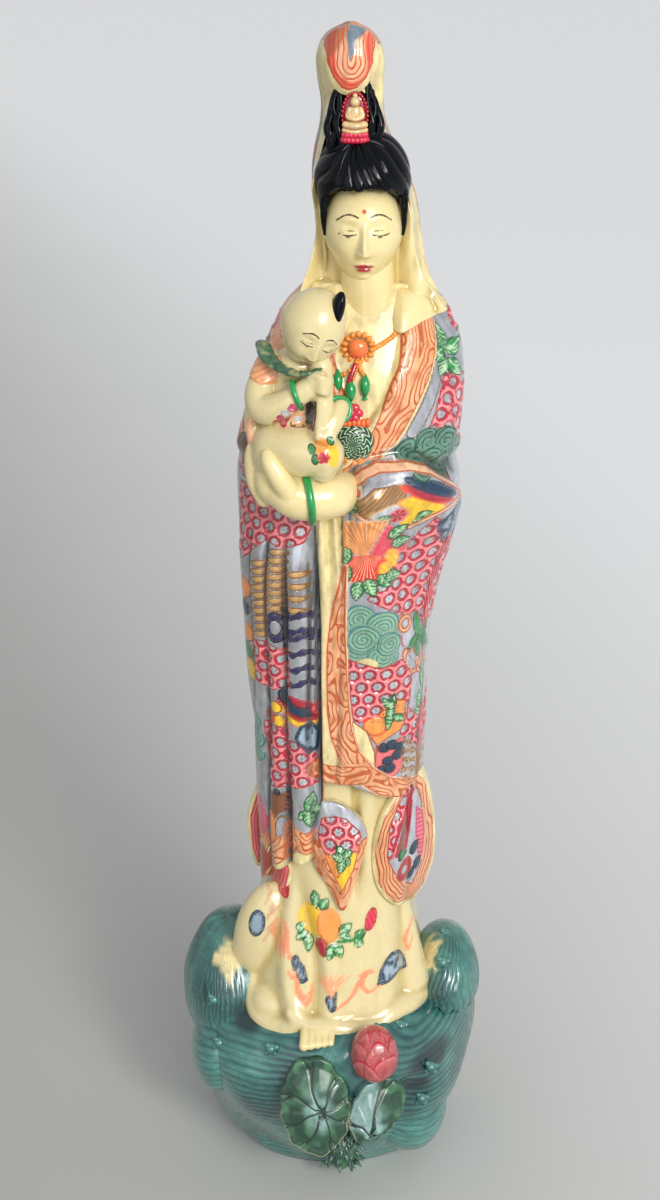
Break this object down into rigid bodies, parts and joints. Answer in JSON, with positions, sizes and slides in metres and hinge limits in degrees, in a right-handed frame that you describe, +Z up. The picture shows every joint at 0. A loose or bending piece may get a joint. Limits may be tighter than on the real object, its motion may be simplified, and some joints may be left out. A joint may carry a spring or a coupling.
{
  "type": "guanyin figure",
  "caption": "Tall painted resin figure of a veiled, robed Guanyin holding a child, cast in one with a round plinth of waves and lotus leaves.",
  "frame": {"origin": "middle of the flat underside of the plinth", "axes": "+Z up through the figure, which faces -Y; +X is on the viewer's right"},
  "size_m": [0.1585, 0.1511, 0.592],
  "materials": {
    "ivory_resin": "cream cast resin under clear gloss lacquer",
    "robe_paint": "silver ground with hand-painted coral, orange, green and blue patterns, gloss lacquer",
    "hair_paint": "black paint with gloss lacquer",
    "wave_paint": "teal wash rubbed thin on the crests, gloss lacquer",
    "leaf_paint": "dark green wash with pale rubbed veins, gloss lacquer",
    "bangle_paint": "emerald green gloss paint",
    "bead_paint": "orange and coral gloss paint over beads"
  },
  "bodies": {
    "root": {"guanyin_figure": "ivory_resin"}
  },
  "joints": []
}
